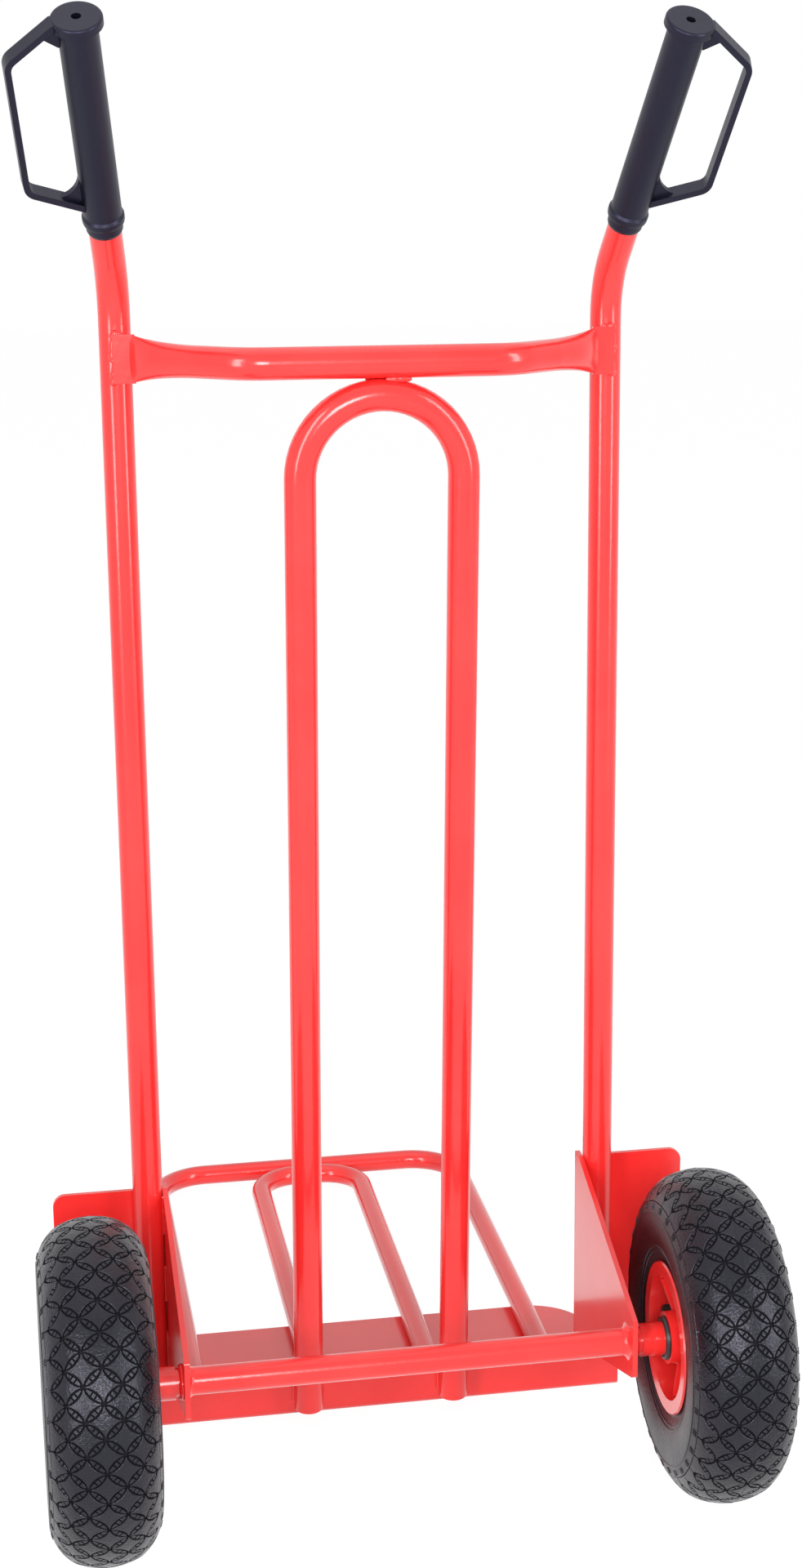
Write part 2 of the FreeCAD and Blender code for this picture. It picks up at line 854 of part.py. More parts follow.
def hinge_rod_clip():
    """A push-on cap that keeps the rod in its ears."""
    body = new_body("hinge_rod_clip")
    section = sketch_on(body, "XZ_Plane", "Section")
    end = "ear_inside + ear_thick"
    rod = "hinge_rod_dia / 2"
    steps = [(end, f"{rod} + 3"), (f"{end} + 1.2", f"{rod} + 3"), (f"{end} + 4", rod)]
    trace(section, (end, rod), steps)
    revolve(body, section, "H_Axis")
    place(body, "0", "-upright_back + hinge_ahead", "hinge_height")


for name, side in SIDES:
    hinge_ear(name, side)
hinge_rod()
hinge_rod_clip()


# ---- folding toe extension: two bent bars welded to a hinge tube ----

def hinge_tube():
    body = new_body("hinge_tube")
    section = sketch_on(body, "YZ_Plane", "Section")
    circle(section, "bar_dia / 2")
    circle(section, "hinge_rod_dia / 2 + running_gap")
    pad(body, section, "2 * (ear_inside - side_gap)", both_ways=True)
    place(body, "0", "-upright_back + hinge_ahead", "hinge_height")


def toe_loop(label, gap, reach, corner):
    """A U of tube that lies on the toe plate, its ends coped round the hinge tube."""
    body = new_body(label)
    half = f"{gap} / 2"
    root = "bar_dia / 4"
    section = sketch_on(body, "XZ_Plane", "Section", f"-{root}")
    tube_section(section, "bar_dia / 2", "bar_wall", f"-{half}", "0")
    path = sketch_on(body, "XY_Plane", "Path")
    steps = [
        (f"-{half}", f"{reach} - {corner}"),
        (f"-{half} + {corner}", reach, corner, -1),
        (f"{half} - {corner}", reach),
        (half, f"{reach} - {corner}", corner, -1),
        (half, root),
    ]
    trace(path, (f"-{half}", root), steps, closed=False)
    pipe(body, section, path)
    cope = sketch_on(body, "YZ_Plane", "Cope")
    circle(cope, "bar_dia / 2")
    cut_through(body, cope, "Cope_cut")
    place(body, "loop_offset", "-upright_back + hinge_ahead", "hinge_height")


hinge_tube()
toe_loop("outer_toe_loop", "outer_gap", "outer_reach", "outer_corner")
toe_loop("inner_toe_loop", "inner_gap", "(outer_reach - bar_dia)", "inner_corner")


# ---- wheels: tyre, inner tube, rim, ribbed hub, two bearings and a valve ----

def mirrored(points):
    """A right half, from its middle outwards and back, completed by its left half."""
    left = []
    for point in reversed(points):
        left.append((f"-({point[0]})",) + tuple(point[1:]))
    return list(points) + left


def wheel_place(body, side, lean=0):
    """Puts a piece on the wheel's centre, turned about the axle by lean degrees."""
    stance = turn("x", -lean) if side > 0 else turn("z", 180).multiply(turn("x", lean))
    place(body, f"{side} * track / 2", "-upright_back - axle_back", "axle_height", stance)


def tyre(name, side):
    """A casing with a flat-crowned tread, rounded shoulders and beads inside the rim's lips."""
    body = new_body(f"{name}_tyre")
    section = sketch_on(body, "XZ_Plane", "Section")
    bead = "rim_half - 2"
    steps = [
        (bead, "rim_lip + 1.5"),
        ("tyre_half", "tyre_radius - 37", "74.4", 1),
        ("24", "tyre_radius - 5.4", "37", 1),
        ("-24", "tyre_radius - 5.4", "56", 1),
        ("-tyre_half", "tyre_radius - 37", "37", 1),
        (f"-({bead})", "rim_lip + 1.5", "74.4", 1),
        (f"-({bead})", "rim_seat"),
        (f"-({bead}) + 7", "rim_seat"),
        (f"-({bead}) + 7", "rim_lip + 2"),
        ("-tyre_half + 5", "tyre_radius - 38", "34", -1),
        ("-17", "tyre_radius - 11", "28", -1),
        ("17", "tyre_radius - 11", "60", -1),
        ("tyre_half - 5", "tyre_radius - 38", "28", -1),
        (f"{bead} - 7", "rim_lip + 2", "34", -1),
        (f"{bead} - 7", "rim_seat"),
    ]
    trace(section, (bead, "rim_seat"), steps)
    revolve(body, section, "H_Axis")
    wheel_place(body, side)


def inner_tube(name, side):
    """A hollow rubber ring inside the casing."""
    body = new_body(f"{name}_inner_tube")
    section = sketch_on(body, "XZ_Plane", "Section")
    centre = "tyre_radius - 40"
    circle(section, "26", "0", centre)
    circle(section, "24.5", "0", centre)
    revolve(body, section, "H_Axis")
    wheel_place(body, side)


def rim(name, side):
    """A ring with a lip and a bead seat on either side of a deeper well."""
    body = new_body(f"{name}_rim")
    section = sketch_on(body, "XZ_Plane", "Section")
    half = [
        ("10", "rim_well"),
        ("15", "rim_seat - 0.2"),
        ("rim_half - 2", "rim_seat - 0.2"),
        ("rim_half - 2", "rim_lip - 1"),
        ("rim_half - 0.5", "rim_lip"),
        ("rim_half + 1", "rim_lip - 1"),
        ("rim_half + 0.6", "rim_seat - rim_skin + 0.3"),
        ("rim_half - 3", "rim_seat - rim_skin - 0.2"),
        ("web_thick / 2 + 1.5", "rim_well - rim_skin"),
    ]
    outline = mirrored(half)
    trace(section, outline[0], outline[1:])
    revolve(body, section, "H_Axis", "RimTurn")
    wheel_place(body, side)


def hub(name, side):
    """A bored hub on a round web that fits the rim's well, with ribs on both of its sides."""
    body = new_body(f"{name}_hub")
    section = sketch_on(body, "XZ_Plane", "Section")
    bore = "bearing_dia / 2"
    well = "(rim_well - rim_skin)"
    web = "web_thick / 2"

    def one_side(end):
        seat = f"{end} - bearing_width - 1"
        return [
            (web, f"{well} - running_gap"),
            (web, "hub_radius + 2"),
            (f"{web} + 2", "hub_radius + 0.5"),
            (end, "hub_radius - 0.5"),
            (end, bore),
            (seat, bore),
            (seat, f"{bore} - 3.5"),
        ]

    inward = [(f"-({x})", height) for x, height in reversed(one_side("hub_inner"))]
    outline = one_side("hub_outer") + inward
    trace(section, outline[0], outline[1:])
    revolve(body, section, "H_Axis", "HubTurn")
    ribs = sketch_on(body, "XZ_Plane", "Rib")
    foot = ("web_thick / 2 + 1.5", f"{well} - 2 * running_gap")
    end = ("rim_half - 5", "rim_seat - rim_skin - 0.9")
    corners = [
        ("hub_outer - 4", "hub_radius - 1.5"),
        end,
        foot,
        (f"-({foot[0]})", foot[1]),
        (f"-({end[0]})", end[1]),
        ("-hub_inner + 10", "hub_radius - 1.5"),
    ]
    trace(ribs, corners[0], corners[1:])
    web_pad = pad(body, ribs, "rib_thick", both_ways=True, name="RibPad")
    doc.recompute()
    pattern = body.newObject("PartDesign::PolarPattern", "Ribs")
    pattern.Originals = [web_pad]
    axis = next(item for item in body.Origin.OriginFeatures if item.Role == "X_Axis")
    pattern.Axis = (axis, [""])
    pattern.Angle = 360
    pattern.setExpression("Occurrences", linked("rib_count"))
    body.Tip = pattern
    wheel_place(body, side, number("rib_angle"))


def bearing(label, side, end):
    """A sealed ball bearing: two rings with a seal let in between them."""
    body = new_body(label)
    section = sketch_on(body, "XZ_Plane", "Section")
    face = "hub_outer" if end > 0 else "hub_inner"
    outer = f"{face} - 1"
    inner = f"{face} - 1 - bearing_width"
    bore = "axle_dia / 2 + running_gap"
    ring = "bearing_dia / 2"
    steps = [
        (outer, f"{bore} + 2.4"),
        (f"{outer} - 0.7", f"{bore} + 2.6"),
        (f"{outer} - 0.7", f"{ring} - 2.6"),
        (outer, f"{ring} - 2.4"),
        (outer, ring),
        (inner, ring),
        (inner, bore),
    ]
    trace(section, (outer, bore), steps)
    revolve(body, section, "H_Axis")
    stance = turn("z", 0 if side * end > 0 else 180)
    place(body, f"{side} * track / 2", "-upright_back - axle_back", "axle_height", stance)


def valve(name, side):
    """A bent stem through the rim's well, and its screw cap on the frame's side."""
    lift = turn("x", DIMENSIONS["valve_angle"])
    stance = lift if side > 0 else turn("z", 180).multiply(turn("x", -DIMENSIONS["valve_angle"]))
    forward = 1 if side > 0 else -1
    radius = f"{forward} * valve_radius"
    well = f"{forward} * (rim_well - rim_skin - 0.2)"
    start = "-web_thick / 2 - valve_dia / 2 - 1.9"
    bend = "5"

    stem = new_body(f"{name}_valve_stem")
    path = sketch_on(stem, "XY_Plane", "Path")
    steps = [
        (start, f"{radius} + {forward} * {bend}"),
        (f"{start} - {bend}", radius, bend, -forward),
        (f"{start} - {bend} - valve_reach - 4", radius),
    ]
    trace(path, (start, well), steps, closed=False)
    section = sketch_on(stem, "XZ_Plane", "Section", f"-({well})")
    circle(section, "valve_dia / 2", start, "0")
    pipe(stem, section, path)
    place(stem, f"{side} * track / 2", "-upright_back - axle_back", "axle_height", stance)

    cap = new_body(f"{name}_valve_cap")
    outline = sketch_on(cap, "XY_Plane", "Section")
    open_end = f"{start} - {bend} - valve_reach"
    shut_end = f"{open_end} - cap_length"
    centre = radius
    steps = [
        (open_end, f"{centre} + {forward} * cap_width / 2"),
        (f"{shut_end} + 1.5", f"{centre} + {forward} * cap_width / 2"),
        (shut_end, f"{centre} + {forward} * (cap_width / 2 - 1.5)"),
        (shut_end, centre),
        (f"{open_end} - 4", centre),
        (f"{open_end} - 4", f"{centre} + {forward} * valve_dia / 2"),
    ]
    trace(outline, (open_end, f"{centre} + {forward} * valve_dia / 2"), steps)
    line = cap.newObject("PartDesign::Line", "CapAxis")
    line.AttachmentSupport = []
    line.MapMode = "Deactivated"
    line.Placement = FreeCAD.Placement(FreeCAD.Vector(0, number(centre), 0), turn("y", 90))
    turned = cap.newObject("PartDesign::Revolution", "CapTurn")
    turned.Profile = outline
    turned.ReferenceAxis = (line, [""])
    turned.Angle = 360
    place(cap, f"{side} * track / 2", "-upright_back - axle_back", "axle_height", stance)


for name, side in SIDES:
    tyre(name, side)
    inner_tube(name, side)
    rim(name, side)
    hub(name, side)
    bearing(f"{name}_inner_bearing", side, -side)
    bearing(f"{name}_outer_bearing", side, side)
    valve(name, side)


# ---- check every object, then write one file for each sub-part ----

doc.recompute()
faults = []
for thing in doc.Objects:
    if "Invalid" in thing.State or "Error" in thing.State:
        faults.append(f"{thing.Label}: {thing.State}")
for part in parts:
    if part.Shape.isNull() or not part.Shape.isValid():
        faults.append(f"{part.Label}: bad shape")
if faults:
    raise RuntimeError("; ".join(faults))

os.makedirs("parts", exist_ok=True)
for part in parts:
    part.Shape.exportStep(f"parts/{part.Label}.step")
print(len(parts), "parts written")
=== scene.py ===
import math
import random

import bmesh
import bpy
from mathutils import Matrix, Vector


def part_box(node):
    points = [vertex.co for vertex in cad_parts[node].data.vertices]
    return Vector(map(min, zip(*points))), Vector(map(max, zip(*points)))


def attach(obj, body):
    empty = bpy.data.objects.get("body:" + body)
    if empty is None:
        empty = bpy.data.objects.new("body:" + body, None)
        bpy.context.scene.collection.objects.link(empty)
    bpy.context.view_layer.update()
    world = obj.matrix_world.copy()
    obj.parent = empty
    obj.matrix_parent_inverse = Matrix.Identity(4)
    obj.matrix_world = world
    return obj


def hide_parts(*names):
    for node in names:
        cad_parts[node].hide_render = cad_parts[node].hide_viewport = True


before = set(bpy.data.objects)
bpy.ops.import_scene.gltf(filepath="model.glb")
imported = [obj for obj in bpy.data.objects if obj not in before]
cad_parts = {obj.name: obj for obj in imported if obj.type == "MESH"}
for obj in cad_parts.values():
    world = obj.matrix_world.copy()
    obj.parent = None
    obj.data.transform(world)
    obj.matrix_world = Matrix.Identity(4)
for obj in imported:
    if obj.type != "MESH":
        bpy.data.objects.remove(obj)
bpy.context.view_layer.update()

# ---- Toe plate ----
# One sheet of 4 mm steel folded up into a rear flange, its front corners cut round. It is
# powder-coated glossy red after welding, like the frame, the toe extension, the rims and hubs.

RED = (0.94, 0.036, 0.033, 1.0)
RED_THIN = (0.88, 0.025, 0.024, 1.0)


class Wiring:
    """Adds nodes to a tree and joins them: w("TexNoise", Scale=5, Vector=other)."""

    def __init__(self, tree):
        self.tree = tree

    def __call__(self, kind, **inputs):
        node = self.tree.nodes.new("ShaderNode" + kind)
        for name, value in inputs.items():
            self.feed(node, name.replace("_", " "), value)
        return node

    def feed(self, node, name, value):
        socket = node.inputs[int(name) if name.isdigit() else name]
        if isinstance(value, bpy.types.NodeSocket):
            self.tree.links.new(value, socket)
        else:
            socket.default_value = value

    def math(self, operation, first, second=0.5, third=None):
        node = self.tree.nodes.new("ShaderNodeMath")
        node.operation = operation
        for index, value in enumerate((first, second, third)):
            if value is not None:
                self.feed(node, str(index), value)
        return node.outputs[0]

    def mix(self, share, first, second):
        node = self.tree.nodes.new("ShaderNodeMix")
        node.data_type = "RGBA"
        self.feed(node, "0", share)
        self.feed(node, "6", first)
        self.feed(node, "7", second)
        return node.outputs[2]

    def band(self, value, low, high, start=0.0, end=1.0):
        """A smooth rise from start to end as value goes from low to high."""
        node = self.tree.nodes.new("ShaderNodeMapRange")
        node.interpolation_type = "SMOOTHSTEP"
        for index, item in enumerate((value, low, high, start, end)):
            self.feed(node, str(index), item)
        return node.outputs[0]


def new_group(name, inputs, outputs):
    """A shader node group of numbers: its inputs with their usual values, and its outputs."""
    group = bpy.data.node_groups.new(name, "ShaderNodeTree")
    for label, usual in inputs.items():
        socket = group.interface.new_socket(label, in_out="INPUT", socket_type="NodeSocketFloat")
        socket.default_value = usual
    for label in outputs:
        group.interface.new_socket(label, in_out="OUTPUT", socket_type="NodeSocketFloat")
    return group, Wiring(group)


def noise(w, place, scale, detail=2.0, roughness=0.5):
    """Plain noise from 0 to 1 over the given coordinates."""
    return w("TexNoise", Vector=place, Scale=scale, Detail=detail, Roughness=roughness).outputs[0]


# group: a fine ripple, slow clouds and a roughness that follows them, for the truck's finishes
coat_group, w = new_group(
    "coat_surface",
    {"Ripple size": 180.0, "Cloud size": 9.0, "Base rough": 0.2, "Rough spread": 0.12},
    ("Ripple", "Clouds", "Roughness"),
)
places = w("TexCoord").outputs["Object"]
inward = w.tree.nodes.new("NodeGroupInput")
outward = w.tree.nodes.new("NodeGroupOutput")
fine = noise(w, places, inward.outputs["Ripple size"], 3.0)
clouds = noise(w, places, inward.outputs["Cloud size"], 4.0, 0.6)
spread = w.math("MULTIPLY_ADD", clouds, inward.outputs["Rough spread"], inward.outputs["Base rough"])
w.tree.links.new(fine, outward.inputs["Ripple"])
w.tree.links.new(clouds, outward.inputs["Clouds"])
w.tree.links.new(spread, outward.inputs["Roughness"])


def use_group(w, group, **values):
    """Places a node group in a material, with its own values."""
    node = w.tree.nodes.new("ShaderNodeGroup")
    node.node_tree = group
    for name, value in values.items():
        w.feed(node, name.replace("_", " "), value)
    return node


def new_material(name, **sockets):
    """A Principled material; its constant sockets are set on the shader itself."""
    material = bpy.data.materials.new(name)
    material.use_nodes = True
    w = Wiring(material.node_tree)
    shader = material.node_tree.nodes["Principled BSDF"]
    for label, value in sockets.items():
        shader.inputs[label.replace("_", " ")].default_value = value
    return material, w, shader


def bump(w, shader, height, depth, strength=1.0):
    """Gives the shader a relief from a height, depth in metres."""
    node = w("Bump", Strength=strength, Distance=depth, Height=height)
    w.tree.links.new(node.outputs[0], shader.inputs["Normal"])


def powder_coat(name, base_rough, ripple_depth):
    """Glossy red powder coat: even colour, slightly thinner in places, with orange peel."""
    material, w, shader = new_material(
        name, IOR=1.5, Specular_IOR_Level=0.34, Coat_Weight=0.58, Coat_Roughness=0.14
    )
    coat = use_group(w, coat_group, Base_rough=base_rough)
    share = w.band(coat.outputs["Clouds"], 0.35, 0.7)
    w.feed(shader, "Base Color", w.mix(share, RED, RED_THIN))
    w.feed(shader, "Roughness", coat.outputs["Roughness"])
    bump(w, shader, coat.outputs["Ripple"], ripple_depth, 0.35)
    return material


def dress(material, *nodes):
    """Gives the named pieces their finish."""
    for node in nodes:
        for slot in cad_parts[node].material_slots:
            slot.material = material


red_coat = powder_coat("red_powder_coat", 0.16, 0.0004)
dress(red_coat, "toe_plate")

# ---- Frame tubes and plates ----
# Round 24 mm tube: two uprights, the bowed crossbar and the centre loop, with the gussets,
# wheel guards, cross tube and axle spacers. All welded together before coating.

SIDES = ("left", "right")
dress(red_coat, "top_crossbar", "centre_loop", "cross_tube", "weld_beads")
for side in SIDES:
    for piece in ("upright", "gusset", "wheel_guard", "spacer", "hinge_ear"):
        dress(red_coat, f"{side}_{piece}")


class Mesh:
    """Collects points and faces, and makes an object of them in the end."""

    def __init__(self):
        self.points = []
        self.faces = []

    def add(self, points):
        first = len(self.points)
        self.points += [tuple(point) for point in points]
        return list(range(first, len(self.points)))

    def ring(self, first, second, closed=True):
        """A strip of faces between two equally long rows of points."""
        count = len(first)
        for i in range(count if closed else count - 1):
            j = (i + 1) % count
            self.faces.append((first[i], first[j], second[j], second[i]))

    def finish(self, name, material, body, slot, sharp=35.0, replaces=()):
        """The object, smooth but for edges sharper than the angle, riding on its body."""
        mesh = bpy.data.meshes.new(name)
        mesh.from_pydata(self.points, [], self.faces)
        build = bmesh.new()
        build.from_mesh(mesh)
        bmesh.ops.recalc_face_normals(build, faces=build.faces)
        limit = math.radians(sharp)
        for face in build.faces:
            face.smooth = True
        for edge in build.edges:
            edge.smooth = len(edge.link_faces) == 2 and edge.calc_face_angle() < limit
        build.to_mesh(mesh)
        build.free()
        mesh.materials.append(material)
        item = bpy.data.objects.new(name, mesh)
        bpy.context.scene.collection.objects.link(item)
        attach(item, body)
        if replaces:
            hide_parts(*replaces)
        return item


# a direction that none of the swept paths runs along, to turn their sections by
ASIDE = Vector((0.31, 0.77, 0.55))


def sweep(mesh, path, radius, sides, closed=False):
    """Sweeps a round section along a path; radius may be a function of the place along it."""
    count = len(path)
    rows = []
    for i, point in enumerate(path):
        if closed:
            ahead = path[(i + 1) % count] - path[i - 1]
        else:
            ahead = path[min(i + 1, count - 1)] - path[max(i - 1, 0)]
        ahead.normalize()
        across = ahead.cross(ASIDE).normalized()
        out = across.cross(ahead).normalized()
        size = radius(i / max(count - 1, 1)) if callable(radius) else radius
        turns = [2 * math.pi * k / sides for k in range(sides)]
        rows.append(
            mesh.add(
                point + across * (size * math.cos(t)) + out * (size * math.sin(t))
                for t in turns
            )
        )
    for first, second in zip(rows, rows[1:]):
        mesh.ring(first, second)
    if closed:
        mesh.ring(rows[-1], rows[0])
    else:
        mesh.faces.append(tuple(rows[0]))
        mesh.faces.append(tuple(reversed(rows[-1])))


# Weld beads: swept ripples, each one a little wider, narrower or off the line than the last.
MM = 0.001
BEAD_STEP = 0.7 * MM
chance = random.Random(7)


def straight(start, end):
    """Points from start to end about a step apart."""
    start, end = Vector(start), Vector(end)
    count = max(int((end - start).length / BEAD_STEP), 3)
    return [start.lerp(end, i / count) for i in range(count + 1)]


def arc(centre, first, second, start, end):
    """Points round a centre, from one angle to the other, on the plane of two radius vectors."""
    first, second = Vector(first), Vector(second)
    count = max(int(abs(end - start) * first.length / BEAD_STEP), 6)
    angles = [start + (end - start) * i / count for i in range(count + 1)]
    return [Vector(centre) + first * math.cos(a) + second * math.sin(a) for a in angles]


def bead(mesh, path, size, closed=False):
    """A rough weld bead along a path: three waves make its ripples, and open ends taper."""
    wander = Vector((0, 0, 0))
    rough = []
    for point in path:
        step = Vector([chance.uniform(-0.05, 0.05) * MM for _ in range(3)])
        wander = wander * 0.9 + step
        rough.append(point + wander)
    waves = [chance.uniform(0, 6.28) for _ in range(3)]
    length = sum((b - a).length for a, b in zip(path, path[1:]))

    def thick(along):
        run = along * length / MM
        scale = 0.10 * abs(math.sin(run * 1.5 + waves[0])) + 0.12 * math.sin(run * 0.37 + waves[1])
        ends = 1.0 if closed else min(1.0, 0.45 + 0.3 * min(run, length / MM - run))
        return size * (1.0 + scale + 0.07 * math.sin(run * 0.9 + waves[2])) * ends

    sweep(mesh, rough, thick, 9, closed=closed)


welds = Mesh()
plate_low, plate_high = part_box("toe_plate")
loop_low, loop_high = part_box("centre_loop")
upright_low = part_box("right_upright")[0]
flange_back = plate_low[1]
flange_top = plate_high[2]
tube_radius = 12.0 * MM
upright_x = upright_low[0] + tube_radius
upright_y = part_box("right_wheel_guard")[0][1] - tube_radius
foot_z = loop_low[2]
leg_xs = (loop_low[0] + tube_radius, loop_high[0] - tube_radius)
# the centre loop's legs on the flange: a run down each side of a leg and one over the top edge
for leg in leg_xs:
    for edge in (-1, 1):
        reach = leg + edge * 11.3 * MM
        path = straight(
            (reach, flange_back - 0.6 * MM, foot_z + 2.5 * MM),
            (reach, flange_back - 0.6 * MM, flange_top - 1.5 * MM),
        )
        bead(welds, path, 1.9 * MM)
    top = (leg, flange_back - 2.0 * MM, flange_top - 0.4 * MM)
    bead(welds, arc(top, (11.8 * MM, 0, 0), (0, 10 * MM, 0), 0.25, math.pi - 0.25), 1.6 * MM)
crossbar_low, crossbar_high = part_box("top_crossbar")
# the runs' starts and ends, in millimetres above the floor
GUSSET_RUNS = ((60, 92), (118, 150), (178, 212))
GUARD_RUNS = ((96, 124), (160, 196))
for side, sign in (("left", -1), ("right", 1)):
    x = sign * upright_x
    # the upright's foot on the flange's top edge
    foot = (x, upright_y, flange_top + 0.6 * MM)
    bead(welds, arc(foot, (12.4 * MM, 0, 0), (0, 12.4 * MM, 0), 0.15, math.pi - 0.15), 2.0 * MM)
    # the gusset along the upright, in three runs
    seam_x = sign * (upright_x - tube_radius + 0.6 * MM)
    for start, end in GUSSET_RUNS:
        low = (seam_x, upright_y - 2.6 * MM, start * MM)
        high = (seam_x, upright_y - 2.6 * MM, end * MM)
        bead(welds, straight(low, high), 1.9 * MM)
    # the guard along the upright's front, in two runs on each side of the tube's middle
    guard_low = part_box(f"{side}_wheel_guard")[0]
    for start, end in GUARD_RUNS:
        for edge in (-1, 1):
            reach = x + edge * 5.4 * MM
            low = (reach, guard_low[1] - 0.8 * MM, start * MM)
            high = (reach, guard_low[1] - 0.8 * MM, end * MM)
            bead(welds, straight(low, high), 1.7 * MM)
    # the hinge ear's outer edge against the flange
    ear_low, ear_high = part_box(f"{side}_hinge_ear")
    reach = ear_high[0] if sign > 0 else ear_low[0]
    low = (reach, ear_low[1] + 0.4 * MM, 12 * MM)
    high = (reach, ear_low[1] + 0.4 * MM, ear_high[2] - 3 * MM)
    bead(welds, straight(low, high), 1.8 * MM)
# the arch against the crossbar: a short run behind, right of the middle, a longer one in front
crown = ((leg_xs[0] + leg_xs[1]) / 2, crossbar_low[1] + tube_radius, loop_high[2] - 0.2 * MM)
for start, end, ahead in ((2, 21, -5.2), (-12, 14, 5.5)):
    low = (crown[0] + start * MM, crown[1] + ahead * MM, crown[2])
    high = (crown[0] + end * MM, crown[1] + ahead * MM, crown[2])
    bead(welds, straight(low, high), 2.3 * MM)
welds.finish("frame_weld_beads", red_coat, "frame", "red_paint", 60.0)

# in place of the plain rings: rough beads at the spacers, smooth fillets at the cross tube's
# ends, their width in millimetres
FILLET = 4.6
FILLET_STEPS = 8
ROUND_STEPS = 60
axle_beads = Mesh()
wheel_low, wheel_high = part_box("right_tyre")
axle_y = (wheel_low[1] + wheel_high[1]) / 2
axle_z = (wheel_low[2] + wheel_high[2]) / 2
gusset_low, gusset_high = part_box("right_gusset")
cross_low, cross_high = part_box("cross_tube")
cross_radius = (cross_high[2] - cross_low[2]) / 2
for sign in (-1, 1):
    # outside, round the spacer's narrow end: a rough bead
    centre = (sign * (gusset_high[0] + 1.0 * MM), axle_y, axle_z)
    path = arc(centre, (0, 11.4 * MM, 0), (0, 0, 11.4 * MM), 0, 2 * math.pi)[:-1]
    bead(axle_beads, path, 2.3 * MM, closed=True)
    # inside, round the cross tube: a smooth hollow fillet, wider at the gusset
    fillet = []
    for i in range(FILLET_STEPS + 1):
        turn = math.pi / 2 * i / FILLET_STEPS
        fillet.append((FILLET * (1 - math.sin(turn)), FILLET * (1 - math.cos(turn))))
    rows = []
    for out, rise in fillet:
        x = sign * (gusset_low[0] - out * MM)
        ring = []
        for k in range(ROUND_STEPS):
            angle = 2 * math.pi * k / ROUND_STEPS
            radius = cross_radius + (rise * (1 + 0.05 * math.sin(3 * angle)) - 0.05) * MM
            y = axle_y + radius * math.cos(angle)
            ring.append((x, y, axle_z + radius * math.sin(angle)))
        rows.append(axle_beads.add(ring))
    for first, second in zip(rows, rows[1:]):
        axle_beads.ring(first, second)
axle_beads.finish("axle_weld_beads", red_coat, "frame", "red_paint", 60.0, ("weld_beads",))

# the pressed ends' outer edges on the uprights
blade_beads = Mesh()
blade_reach = crossbar_high[0]
blade_mid = (crossbar_low[2] + crossbar_high[2]) / 2
blade_half = (crossbar_high[2] - crossbar_low[2]) / 2
blade_front = upright_y - tube_radius - 0.6 * MM
DROPS = 9
for sign in (-1, 1):
    # a thick run down the edge, wandering a little
    path = []
    for point in straight((0, 0, -blade_half - 2 * MM), (0, 0, blade_half + 3 * MM)):
        sway = 0.9 * math.sin(point.z * 260) + 0.5 * math.sin(point.z * 610 + 1.0)
        x = sign * (blade_reach - 1.2 * MM + sway * MM)
        path.append(Vector((x, blade_front + 0.9 * MM, blade_mid + point.z)))
    bead(blade_beads, path, 2.9 * MM)
    # drops of spatter piled on its upper half
    for _ in range(DROPS):
        drop = Vector(
            (
                sign * (blade_reach - chance.uniform(-0.8, 2.6) * MM),
                blade_front - 0.6 * MM,
                blade_mid + chance.uniform(-0.1, 1.1) * blade_half,
            )
        )
        size = chance.uniform(1.2, 2.0) * MM
        ball = [drop + Vector((0, 0, (i - 3) / 3 * size)) for i in range(7)]
        sweep(blade_beads, ball, lambda t, r=size: r * math.sqrt(max(0.04, 4 * t * (1 - t))), 10)
    # a short thin run along the top edge
    top = blade_mid + blade_half + 0.2 * MM
    low = (sign * (upright_x - 5.2 * MM), blade_front + 1.4 * MM, top)
    high = (sign * (upright_x + 4.0 * MM), blade_front + 1.4 * MM, top)
    bead(blade_beads, straight(low, high), 1.6 * MM)
blade_beads.finish("blade_weld_beads", red_coat, "frame", "red_paint", 60.0)

# ---- Toe extension ----
# Two bent bars of 19 mm tube, one inside the other, welded to a hinge tube that swings on
# a rod between two ears. It folds up in front of the centre loop.

dress(red_coat, "outer_toe_loop", "inner_toe_loop", "hinge_tube")
hinge_low, hinge_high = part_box("hinge_tube")
hinge_y = (hinge_low[1] + hinge_high[1]) / 2
hinge_z = (hinge_low[2] + hinge_high[2]) / 2
bar_radius = (hinge_high[2] - hinge_low[2]) / 2
# a bead round the end of each leg, where it meets the hinge tube, open underneath
RING_STEPS = 60
loop_beads = Mesh()
for piece in ("outer_toe_loop", "inner_toe_loop"):
    bars_low, bars_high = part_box(piece)
    for leg in (bars_low[0] + bar_radius, bars_high[0] - bar_radius):
        ring = []
        for i in range(RING_STEPS):
            turn = math.radians(-150 + 300 * i / (RING_STEPS - 1)) + math.pi / 2
            across = bar_radius * 0.99 * math.cos(turn)
            above = bar_radius * 0.99 * math.sin(turn)
            ahead = math.sqrt(max(bar_radius**2 - above**2, (3 * MM) ** 2)) + 0.5 * MM
            ring.append(Vector((leg + across, hinge_y + ahead, hinge_z + above)))
        bead(loop_beads, [p for p in ring if p.z > hinge_z - 5 * MM], 1.7 * MM)
loop_beads.finish("toe_loop_weld_beads", red_coat, "toe_extension", "red_paint", 60.0)

# ---- Axle rod, washers, split pins and hinge rod ----
# Bright zinc-plated steel, left unpainted so that it can be taken apart. The axle rod carries
# both wheels, kept on by washers and split pins, and a clip keeps the hinge rod in its ears.


def plain_finish(name, first, second, relief, strength, surface, **sockets):
    """A finish of two near colours in soft clouds, with a fine relief in metres."""
    material, w, shader = new_material(name, **sockets)
    coat = use_group(w, coat_group, **surface)
    w.feed(shader, "Base Color", w.mix(coat.outputs["Clouds"], first, second))
    w.feed(shader, "Roughness", coat.outputs["Roughness"])
    bump(w, shader, coat.outputs["Ripple"], relief, strength)
    return material


